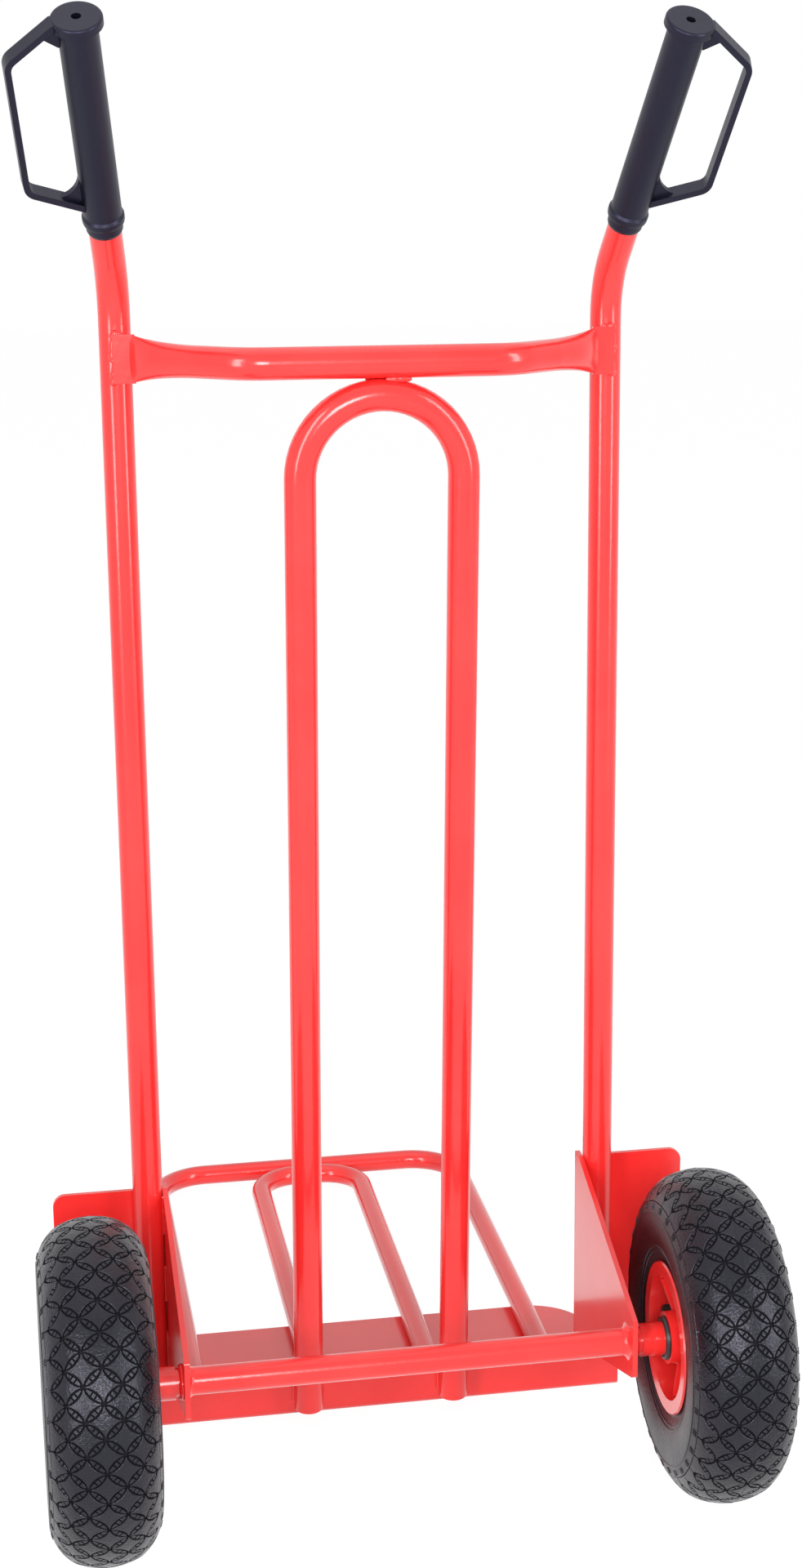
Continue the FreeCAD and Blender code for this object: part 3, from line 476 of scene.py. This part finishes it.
zinc = plain_finish(
    "zinc_plate",
    (0.62, 0.62, 0.60, 1.0),
    (0.42, 0.43, 0.44, 1.0),
    relief=0.0001,
    strength=0.3,
    surface={"Ripple_size": 900.0, "Cloud_size": 60.0, "Base_rough": 0.28, "Rough_spread": 0.2},
    Metallic=1.0,
    IOR=2.5,
)
dress(zinc, "axle_rod", "axle_washers", "hinge_rod", "hinge_rod_clip")

# split pins: one wire bent to an eye, its two legs pushed through and spread below the rod.
# A leg's path runs along the truck and up, in millimetres, with the eye's middle at EYE_UP.
EYE_UP = 8.9
pins = Mesh()
pin_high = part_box("axle_split_pins")[1]
eye_z = pin_high[2] - 4.9 * MM
eye_radius = 3.4 * MM
wire = 0.82 * MM
for sign in (-1, 1):
    pin_x = sign * (pin_high[0] - 1.7 * MM)
    for leg in (-1, 1):
        path = [(leg * 3.3, 8.0), (leg * 2.2, 6.1), (leg * 0.86, 4.6), (leg * 0.86, -13.0)]
        path += [(leg * 0.86, -22.0), (leg * 1.3, -25.5), (leg * 2.6, -28.2), (leg * 3.3, -29.2)]
        line = [Vector((pin_x, axle_y + y * MM, eye_z + (z - EYE_UP) * MM)) for y, z in path]
        sweep(pins, line, wire, 10)
    turns = [math.pi * (-0.06 + 1.12 * i / 20) for i in range(21)]
    eye = [
        Vector((pin_x, axle_y + eye_radius * math.cos(t), eye_z + eye_radius * math.sin(t)))
        for t in turns
    ]
    sweep(pins, eye, wire, 10)
pins.finish("axle_split_pin_wires", zinc, "frame", "zinc", 50.0, ("axle_split_pins",))

# ---- Wheels ----
# Ribbed cast wheels coated the same red, with sealed bearings and a rubber valve with its cap.
# Each tyre is one moulded casing: diamond blocks with chains of small lands between them,
# blocks and ticks over the shoulder, and a few fine rings on the sidewall.

# the arcs of half a tyre's section: the centre's place across and its radius round the axle,
# then the arc's own radius, in millimetres
CROWN_ARC = (0.0, 74.0, 56.0)
SHOULDER_ARC = (4.5, 93.1, 37.0)
WALL_ARC = (-32.9, 93.0, 74.4)
# from the crown down: each arc's length, its shape and the angle at which it starts
ARCS = ((24.81, CROWN_ARC, 0.0), (37.61, SHOULDER_ARC, 0.5543), (32.5, WALL_ARC, math.pi / 2))

# the blue in the rubber's specular tint is a painted bluish sheen on its reflections
rubber, w, shader = new_material(
    "tyre_rubber", IOR=1.5, Specular_IOR_Level=0.46, Specular_Tint=(0.80, 0.78, 0.94, 1.0)
)
coat = use_group(w, coat_group, Ripple_size=520.0, Cloud_size=30.0, Base_rough=0.20, Rough_spread=0.22)
spots = w("TexCoord").outputs["Object"]
apart = w("SeparateXYZ", Vector=spots)
across = w.math("MULTIPLY", apart.outputs["Y"], apart.outputs["Y"])
across = w.math("MULTIPLY_ADD", apart.outputs["Z"], apart.outputs["Z"], across)
reach = w.math("SQRT", across)
tread = w.band(reach, 0.112, 0.1255)
# how far a point lies outside the casing's two tread arcs: 0 on the blocks, less in the grooves
away = w.math("ABSOLUTE", apart.outputs["X"])
lifts = []
for x, radius, bend in (CROWN_ARC, SHOULDER_ARC):
    aside = w.math("SUBTRACT", away, x * MM)
    above = w.math("SUBTRACT", reach, radius * MM)
    far = w.math("SQRT", w.math("MULTIPLY_ADD", aside, aside, w.math("MULTIPLY", above, above)))
    lifts.append(w.math("SUBTRACT", far, bend * MM))
outer_arc = w.band(away, 0.0238, 0.0242)
gap = w.math("SUBTRACT", lifts[1], lifts[0])
lift = w.math("MULTIPLY_ADD", outer_arc, gap, lifts[0])
worn = w.math("MULTIPLY", w.band(lift, -0.0009, -0.0003), w.band(reach, 0.103, 0.106))
dust = w.band(noise(w, spots, 900.0, 2.0), 0.66, 0.72)
wall_colour = w.mix(coat.outputs["Clouds"], (0.0050, 0.0036, 0.0056, 1.0), (0.0105, 0.0080, 0.0118, 1.0))
tread_colour = w.mix(coat.outputs["Clouds"], (0.0046, 0.0048, 0.0066, 1.0), (0.0095, 0.0100, 0.0132, 1.0))
colour = w.mix(tread, wall_colour, tread_colour)
# painted shade: the groove floors are darkened almost to black, as if shade lay in them; the same mask
# also makes them rougher
groove = w.math("MULTIPLY", w.math("SUBTRACT", 1.0, worn), w.band(reach, 0.108, 0.112))
colour = w.mix(w.math("MULTIPLY", groove, 0.8), colour, (0.0012, 0.0012, 0.0016, 1.0))
colour = w.mix(w.math("MULTIPLY", dust, 0.22), colour, (0.06, 0.06, 0.065, 1.0))
w.feed(shader, "Base Color", colour)
rough = w.math("MULTIPLY_ADD", worn, -0.06, coat.outputs["Roughness"])
rough = w.math("MULTIPLY_ADD", groove, 0.55, rough)
w.feed(shader, "Roughness", rough)
bump(w, shader, coat.outputs["Ripple"], 0.0007, 0.7)

# the tread in millimetres: blocks once round, the radius at the crown, the way from one block
# to the next and from one row to the next, and how deep the grooves are and where they end
PITCHES = 32
CROWN = 130.0
PITCH_ROUND = 2 * math.pi * CROWN / PITCHES
COLUMN = 14.0
GROOVE = 2.2
GROOVE_END = 48.4
GROOVE_FADE = 1.4
# the sidewall's fine rings: where each starts, how wide and how high they are
RINGS = (56.4, 83.7, 86.9)
RING_WIDTH = 1.0
RING_RISE = 0.45


def wall_line(s):
    """A place on the tyre's outside, s millimetres from the crown, and the way out there."""
    sign = -1.0 if s < 0 else 1.0
    s = abs(s)
    index = 0
    while index < len(ARCS) - 1 and s > ARCS[index][0]:
        s -= ARCS[index][0]
        index += 1
    shape, angle = ARCS[index][1:]
    x, radius, bend = shape
    turn = angle + s / bend
    out = Vector((sign * math.sin(turn), math.cos(turn)))
    return Vector((sign * (x + bend * math.sin(turn)), radius + bend * math.cos(turn))), out


def on_tyre(s, v, lift):
    """The point at s across and v round the tread, lifted off it, in metres."""
    place, out = wall_line(s)
    place = place + out * lift
    angle = v / CROWN
    return Vector((place.x, place.y * math.sin(angle), place.y * math.cos(angle))) * MM


def outline_of(grid):
    """The edge of a grid of points, once round."""
    last = len(grid) - 1
    right = [row[-1] for row in grid[1:last]]
    left = [row[0] for row in grid[1:last]]
    return list(grid[0]) + right + list(reversed(grid[last])) + list(reversed(left))


def block(mesh, grid, top, bevel, depth, flare):
    """A raised piece of tread: its top grid, a small bevel and walls down to the casing."""
    rows = [mesh.add(on_tyre(s, v, top) for s, v in row) for row in grid]
    for first, second in zip(rows, rows[1:]):
        mesh.ring(first, second, closed=False)
    edge = outline_of(grid)
    numbers = outline_of(rows)
    count = len(edge)
    middle = (sum(p[0] for p in edge) / count, sum(p[1] for p in edge) / count)
    outs = []
    for i in range(count):
        before, after = edge[i - 1], edge[(i + 1) % count]
        way = (after[0] - before[0], after[1] - before[1])
        size = math.hypot(*way) or 1.0
        out = (way[1] / size, -way[0] / size)
        if out[0] * (edge[i][0] - middle[0]) + out[1] * (edge[i][1] - middle[1]) < 0:
            out = (-out[0], -out[1])
        outs.append(out)
    for grow, lift in ((bevel, top - bevel), (bevel + flare, top - depth)):
        ring = [(p[0] + o[0] * grow, p[1] + o[1] * grow) for p, o in zip(edge, outs)]
        lower = mesh.add(on_tyre(s, v, lift) for s, v in ring)
        mesh.ring(numbers, lower)
        numbers = lower


def hollow_side(start, end, inward, steps, hollow):
    """Points along a block's side, pulled in between its tips."""
    points = []
    for i in range(steps + 1):
        share = i / steps
        pull = hollow * math.sin(math.pi * share) ** 0.8
        points.append(
            (
                start[0] + (end[0] - start[0]) * share + inward[0] * pull,
                start[1] + (end[1] - start[1]) * share + inward[1] * pull,
            )
        )
    return points


def patch(low, high, left, right):
    """A grid of points between four sides that meet at their ends."""
    steps = len(low) - 1
    grid = []
    for j in range(len(left)):
        v = j / (len(left) - 1)
        row = []
        for i in range(steps + 1):
            u = i / steps
            point = []
            for axis in (0, 1):
                ruled = (1 - v) * low[i][axis] + v * high[i][axis]
                ruled += (1 - u) * left[j][axis] + u * right[j][axis]
                ruled -= (1 - u) * (1 - v) * low[0][axis] + u * (1 - v) * low[-1][axis]
                ruled -= (1 - u) * v * high[0][axis] + u * v * high[-1][axis]
                point.append(ruled)
            row.append(tuple(point))
        grid.append(row)
    return grid


def diamond(mesh, s, v):
    """One block of the tread with its four sides hollow, tips at s and v plus and minus."""
    half = PITCH_ROUND / 2
    tips = [(s, v - half), (s + COLUMN, v), (s, v + half), (s - COLUMN, v)]
    pulled = []
    for tip in tips:
        back = (s - tip[0], v - tip[1])
        size = math.hypot(*back)
        pulled.append((tip[0] + back[0] / size * 1.5, tip[1] + back[1] / size * 1.5))
    sides = []
    for i in range(4):
        start, end = pulled[i], pulled[(i + 1) % 4]
        way = (end[0] - start[0], end[1] - start[1])
        size = math.hypot(*way)
        inward = (-way[1] / size, way[0] / size)
        sides.append(hollow_side(start, end, inward, 6, 2.5))
    low, right, high, left = sides
    grid = patch(low, list(reversed(high)), list(reversed(left)), right)
    block(mesh, grid, top=0.0, bevel=0.35, depth=2.6, flare=0.25)


def links(mesh, start, end):
    """Three small lands in a chain along the groove between two rows of blocks."""
    way = (end[0] - start[0], end[1] - start[1])
    size = math.hypot(*way)
    out = (-way[1] / size, way[0] / size)
    for first, last in ((0.15, 0.37), (0.44, 0.56), (0.63, 0.85)):
        rows = []
        for i in range(3):
            share = first + (last - first) * i / 2
            half = 1.75 * math.sin(math.pi * share) - 0.25
            x, y = start[0] + way[0] * share, start[1] + way[1] * share
            rows.append([(x + out[0] * half * k, y + out[1] * half * k) for k in (-1, 0, 1)])
        block(mesh, rows, top=-0.2, bevel=0.2, depth=2.4, flare=0.1)


def shoulder_block(mesh, sign, v):
    """A five-sided block that turns over the shoulder, and three ticks below the gap after it."""
    half = PITCH_ROUND / 2
    rows = []
    for j in range(7):
        share = -1 + 2 * j / 6
        start = 2 * COLUMN + COLUMN * abs(share) + 1.3 + 2.6 * math.sin(math.pi * abs(share))
        rows.append(
            [(sign * (start + (47.4 - start) * i / 4), v + share * (half - 1.0)) for i in range(5)]
        )
    block(mesh, rows, top=0.0, bevel=0.35, depth=2.6, flare=0.25)
    for offset in (-2.3, 0.0, 2.3):
        place = v + half + offset
        tick = [[(sign * s, place + k * 0.35) for s in (49.6, 51.8, 54.0)] for k in (-1, 1)]
        block(mesh, tick, top=0.55, bevel=0.12, depth=0.8, flare=0.08)


def tyre_section():
    """Half of the casing's outline: groove floor, sidewall, bead and inside, then its middle."""
    outside = []
    stops = [i * 3.0 for i in range(16)] + [46.5, 47.6, 48.4, 49.2]
    stops += [51.0, 54.5, 56.2, 56.5, 57.3, 57.6, 60.0, 63.0, 66.0, 69.0, 72.0, 75.0, 78.0]
    stops += [81.0, 83.4, 83.8, 84.6, 85.0, 86.6, 87.0, 87.8, 88.2, 90.0, 92.5, 94.6]
    for s in stops:
        lift = -GROOVE * max(0.0, min(1.0, (GROOVE_END - s) / GROOVE_FADE))
        if any(start < s < start + RING_WIDTH for start in RINGS):
            lift += RING_RISE
        place, out = wall_line(s)
        outside.append(place + out * lift)
    outside.append(Vector((34.4, 58.0)))
    outside.append(Vector((34.2, 51.2)))
    inside = [(27.6, 51.2), (27.6, 63.0), (36.3, 92.0), (32.0, 106.0), (17.0, 118.6), (0.0, 120.0)]
    half = outside + [Vector(point) for point in inside[:-1]]
    return half, Vector(inside[-1])


def casing(mesh):
    """Turns the section round the axle in fine steps."""
    half, middle = tyre_section()
    mirror = [Vector((-p.x, p.y)) for p in reversed(half[1:])]
    outline = half + [middle] + mirror
    steps = PITCHES * 4
    rows = []
    for i in range(steps):
        angle = 2 * math.pi * i / steps
        rows.append(
            mesh.add(
                Vector((p.x, p.y * math.sin(angle), p.y * math.cos(angle))) * MM for p in outline
            )
        )
    for i, row in enumerate(rows):
        mesh.ring(row, rows[(i + 1) % steps])


def tyre_mesh():
    """A whole tyre: the casing with every row of tread on it."""
    mesh = Mesh()
    casing(mesh)
    for pitch in range(PITCHES):
        v = pitch * PITCH_ROUND
        half = PITCH_ROUND / 2
        for column in range(-2, 3):
            middle = v + half if column % 2 == 0 else v
            diamond(mesh, column * COLUMN, middle)
        for sign in (-1, 1):
            shoulder_block(mesh, sign, v)
        for column in range(-3, 3):
            node = v + (half if column % 2 else 0.0)
            for end in (node + half, node - half):
                links(mesh, (column * COLUMN, node), ((column + 1) * COLUMN, end))
    # the mould's parting line, a thin ridge along the middle blocks
    for pitch in range(PITCHES):
        v = (pitch + 0.5) * PITCH_ROUND
        ridge = [[(k * 0.28, v + t) for k in (-1, 1)] for t in (-11.0, -5.5, 0.0, 5.5, 11.0)]
        block(mesh, ridge, top=0.22, bevel=0.1, depth=0.5, flare=0.05)
    return mesh


tread_mesh = tyre_mesh()
for side, sign in (("left", -1), ("right", 1)):
    low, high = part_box(f"{side}_tyre")
    tyre = tread_mesh.finish(
        f"{side}_tyre_tread", rubber, f"{side}_wheel", "tyre", 28.0, (f"{side}_tyre",)
    )
    tyre.location = ((low[0] + high[0]) / 2, axle_y, axle_z)
    tyre.rotation_euler.z = 0.0 if sign > 0 else math.pi

# sealed bearings: ground steel rings with a dark seal let in between them
bearing_steel, w, shader = new_material("bearing_and_seal", IOR=1.6)
coat = use_group(w, coat_group, Ripple_size=1400.0, Cloud_size=90.0, Base_rough=0.24, Rough_spread=0.2)
apart = w("SeparateXYZ", Vector=w("TexCoord").outputs["Object"])
ahead = w.math("SUBTRACT", apart.outputs["Y"], axle_y)
above = w.math("SUBTRACT", apart.outputs["Z"], axle_z)
across = w.math("MULTIPLY_ADD", ahead, ahead, w.math("MULTIPLY", above, above))
reach = w.math("SQRT", across)
SEAL_INNER = 0.0104
SEAL_OUTER = 0.0149
SEAL_EDGE = 0.0003
past_inner = w.band(reach, SEAL_INNER, SEAL_INNER + SEAL_EDGE)
short_of_outer = w.band(reach, SEAL_OUTER, SEAL_OUTER + SEAL_EDGE, 1.0, 0.0)
seal = w.math("MULTIPLY", past_inner, short_of_outer)
steel = w.mix(coat.outputs["Clouds"], (0.50, 0.50, 0.50, 1.0), (0.36, 0.36, 0.37, 1.0))
w.feed(shader, "Base Color", w.mix(seal, steel, (0.014, 0.014, 0.016, 1.0)))
w.feed(shader, "Metallic", w.math("SUBTRACT", 1.0, seal))
w.feed(shader, "Roughness", w.math("MULTIPLY_ADD", seal, 0.2, coat.outputs["Roughness"]))
bump(w, shader, coat.outputs["Ripple"], 0.00008, 0.3)

# the valve and its cap: black rubber and moulded plastic
cap_black = plain_finish(
    "valve_black",
    (0.012, 0.012, 0.013, 1.0),
    (0.030, 0.030, 0.032, 1.0),
    relief=0.0001,
    strength=0.3,
    surface={"Ripple_size": 1500.0, "Cloud_size": 120.0, "Base_rough": 0.25, "Rough_spread": 0.2},
    IOR=1.5,
)
for side in SIDES:
    dress(red_coat, f"{side}_rim", f"{side}_hub")
    dress(cap_black, f"{side}_inner_tube", f"{side}_valve_stem", f"{side}_valve_cap")
    dress(bearing_steel, f"{side}_inner_bearing", f"{side}_outer_bearing")

# dust rings: black rubber washers that sit round the spacers' ends, against the hubs
DUST_RING_STEPS = 72
for side, sign in (("left", -1), ("right", 1)):
    low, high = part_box(f"{side}_hub")
    face = low[0] if sign > 0 else high[0]
    # across from the hub's face and out from the axle, in millimetres
    section = [(-3.0, 13.4), (-3.2, 13.8), (-3.2, 15.4), (-2.8, 16.5), (-1.2, 17.1)]
    section += [(-0.5, 17.2), (-0.2, 17.0), (-0.2, 13.6), (-0.4, 13.4)]
    ring = Mesh()
    rows = []
    for i in range(DUST_RING_STEPS):
        angle = 2 * math.pi * i / DUST_RING_STEPS
        rows.append(
            ring.add(
                (
                    face + sign * x * MM,
                    axle_y + radius * math.sin(angle) * MM,
                    axle_z + radius * math.cos(angle) * MM,
                )
                for x, radius in section
            )
        )
    for i, row in enumerate(rows):
        ring.ring(row, rows[(i + 1) % len(rows)])
    ring.finish(f"{side}_dust_ring", cap_black, f"{side}_wheel", "tube_rubber", 40.0)

# ---- Grips ----
# Black satin plastic, moulded with a collar, an end cap and a bow over the knuckles. Each is
# pushed on the bent end of its upright.

# the blue in the plastic's two colours and in its specular tint is a painted bluish reflection
plastic = plain_finish(
    "grip_plastic",
    (0.0034, 0.0034, 0.0068, 1.0),
    (0.0062, 0.0060, 0.0115, 1.0),
    relief=0.0002,
    strength=0.35,
    surface={"Ripple_size": 600.0, "Cloud_size": 30.0, "Base_rough": 0.30, "Rough_spread": 0.2},
    IOR=1.5,
    Specular_Tint=(0.62, 0.60, 0.95, 1.0),
)
dress(plastic, "left_grip", "right_grip")

# ---- Floor, light and camera ----
# A plain white floor with large soft lamps. The camera stands behind, a little to the left
# and about as high as the grips, and looks down a little.

floor_mesh = bpy.data.meshes.new("floor")
build = bmesh.new()
bmesh.ops.create_grid(build, x_segments=1, y_segments=1, size=12.0)
build.to_mesh(floor_mesh)
build.free()
floor = bpy.data.objects.new("floor", floor_mesh)
bpy.context.scene.collection.objects.link(floor)
FLOOR_GAP = 0.0005
floor.location.z = -FLOOR_GAP


def seen_rays(w):
    """1 for the rays that show a background: to the camera, in mirrors and through glass."""
    rays = w("LightPath").outputs
    seen = w.math("MAXIMUM", rays["Is Camera Ray"], rays["Is Glossy Ray"])
    return w.math("MAXIMUM", seen, rays["Is Transmission Ray"])


# the floor: plain pale paper that catches the shadow, mostly washed out to white where it is seen
floor_white = bpy.data.materials.new("floor_white")
floor_white.use_nodes = True
floor_mesh.materials.append(floor_white)
w = Wiring(floor_white.node_tree)
paper = floor_white.node_tree.nodes["Principled BSDF"]
paper.inputs["Base Color"].default_value = (0.86, 0.86, 0.86, 1.0)
paper.inputs["Roughness"].default_value = 1.0
paper.inputs["Specular IOR Level"].default_value = 0.0
glow = w("Emission", Strength=1.12)
glow.inputs["Color"].default_value = (1.0, 1.0, 1.0, 1.0)
blend = w("MixShader")
w.feed(blend, "0", w.math("MULTIPLY", seen_rays(w), 0.84))
w.tree.links.new(paper.outputs[0], blend.inputs[1])
w.tree.links.new(glow.outputs[0], blend.inputs[2])
surface = floor_white.node_tree.nodes["Material Output"].inputs["Surface"]
w.tree.links.new(blend.outputs[0], surface)

world = bpy.data.worlds.new("studio")
bpy.context.scene.world = world
world.use_nodes = True
sky = Wiring(world.node_tree)
backdrop = world.node_tree.nodes["Background"]
backdrop.inputs["Color"].default_value = (1.0, 1.0, 1.0, 1.0)
sky.feed(backdrop, "Strength", sky.band(seen_rays(sky), 0.0, 1.0, 0.38, 1.0))


def lamp(name, place, aim, width, height, power):
    """A large soft box that points at aim."""
    light = bpy.data.lights.new(name, "AREA")
    light.shape = "RECTANGLE"
    light.size = width
    light.size_y = height
    light.energy = power
    box = bpy.data.objects.new(name, light)
    box.location = place
    box.rotation_euler = (Vector(aim) - Vector(place)).to_track_quat("-Z", "Y").to_euler()
    bpy.context.scene.collection.objects.link(box)


lamp("left_soft_box", (-2.3, -2.6, 1.5), (0.0, -0.1, 0.7), 0.7, 2.8, 58.0)
lamp("right_soft_box", (2.3, -2.2, 1.5), (0.0, -0.1, 0.7), 0.6, 2.8, 44.0)
lamp("front_soft_box", (-0.3, -2.9, 1.3), (0.0, -0.1, 0.35), 0.8, 0.8, 36.0)
lamp("top_soft_box", (0.0, 0.3, 3.4), (0.0, 0.0, 0.4), 2.4, 2.4, 8.0)

camera_data = bpy.data.cameras.new("camera")
camera = bpy.data.objects.new("camera", camera_data)
bpy.context.scene.collection.objects.link(camera)
YAW, PITCH, ROLL = 0.1937, 0.2640, 0.0017
camera.location = (-0.2942, -2.0630, 1.0530)
looking = Vector(
    (math.sin(YAW) * math.cos(PITCH), math.cos(YAW) * math.cos(PITCH), -math.sin(PITCH))
)
level = Vector((math.cos(YAW), -math.sin(YAW), 0.0))
upward = level.cross(looking)
turned_level = level * math.cos(ROLL) - upward * math.sin(ROLL)
turned_up = upward * math.cos(ROLL) + level * math.sin(ROLL)
camera.rotation_euler = Matrix((turned_level, turned_up, -looking)).transposed().to_euler()
# the sensor's long side in millimetres; the focal length and shifts are for a frame that is
# FRAME_HIGH units high
SENSOR = 36.0
FRAME_HIGH = 1920
FOCAL = 3173.0
SHIFT_X = -102.8
SHIFT_Y = 47.9
camera_data.sensor_fit = "AUTO"
camera_data.sensor_width = SENSOR
camera_data.lens = FOCAL / FRAME_HIGH * SENSOR
camera_data.shift_x = SHIFT_X / FRAME_HIGH
camera_data.shift_y = SHIFT_Y / FRAME_HIGH
camera_data.clip_end = 60.0
bpy.context.scene.camera = camera
bpy.context.scene.view_settings.view_transform = "Standard"
